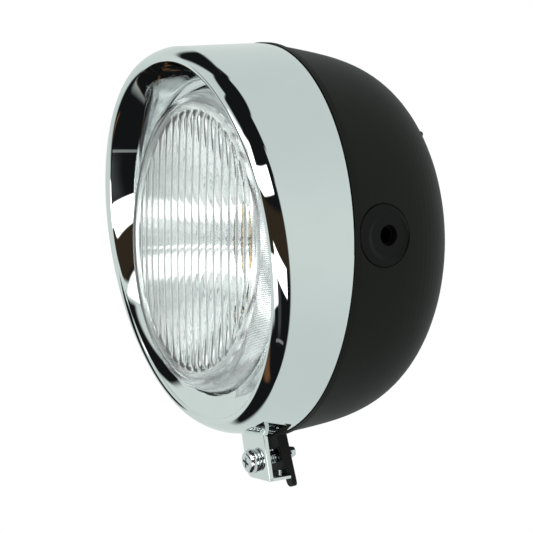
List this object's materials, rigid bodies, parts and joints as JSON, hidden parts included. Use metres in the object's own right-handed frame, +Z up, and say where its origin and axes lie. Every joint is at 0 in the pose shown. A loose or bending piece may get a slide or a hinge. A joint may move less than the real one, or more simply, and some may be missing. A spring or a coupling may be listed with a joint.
{
  "type": "round motorcycle headlight",
  "caption": "Round motorcycle headlight with a black bowl, a slanted chrome ring, fluted glass, a reflector with bulbs, side fixing holes and a lower clamp screw.",
  "frame": {"origin": "on the axis of the two side fixing holes, midway between them", "axes": "+Y rearwards along the beam axis, +X to one side along the fixing axis, +Z up; the glass faces -Y"},
  "size_m": [0.1606, 0.1134, 0.1815],
  "materials": {
    "black_plastic": "satin moulded black plastic",
    "chrome": "bright chrome plate",
    "lens_glass": "clear pressed glass",
    "reflector_silver": "vacuum-coated reflector",
    "bulb_glass": "clear blown glass",
    "brass": "plain brass",
    "tungsten": "drawn wire",
    "zinc_steel": "bright zinc plate",
    "spring_steel": "plain spring steel",
    "black_rubber": "soft black rubber",
    "cream_plastic": "moulded cream plastic"
  },
  "bodies": {
    "root": {"bowl": "black_plastic", "chrome_ring": "chrome", "ring_hook": "zinc_steel", "ring_tab": "chrome", "front_gasket": "black_rubber", "glass_lens": "lens_glass", "reflector": "reflector_silver", "retaining_clips": "spring_steel", "bulb_holder": "black_plastic", "holder_spring": "spring_steel", "bulb_base": "brass", "bulb_glass": "bulb_glass", "bulb_filament": "tungsten", "bulb_contacts": "brass", "parking_holder": "black_rubber", "parking_bulb_base": "brass", "parking_bulb_glass": "bulb_glass", "parking_filament": "tungsten", "left_bush": "black_plastic", "right_bush": "black_plastic", "left_insert": "zinc_steel", "right_insert": "zinc_steel", "clamp_screw": "zinc_steel", "clamp_washer": "zinc_steel", "clamp_spring_washer": "zinc_steel", "clamp_nut": "zinc_steel", "terminal_block": "cream_plastic", "terminal_screws": "zinc_steel", "terminal_fixing_screw": "zinc_steel", "earth_screw": "brass", "cable_grommet": "black_rubber"}
  },
  "joints": []
}
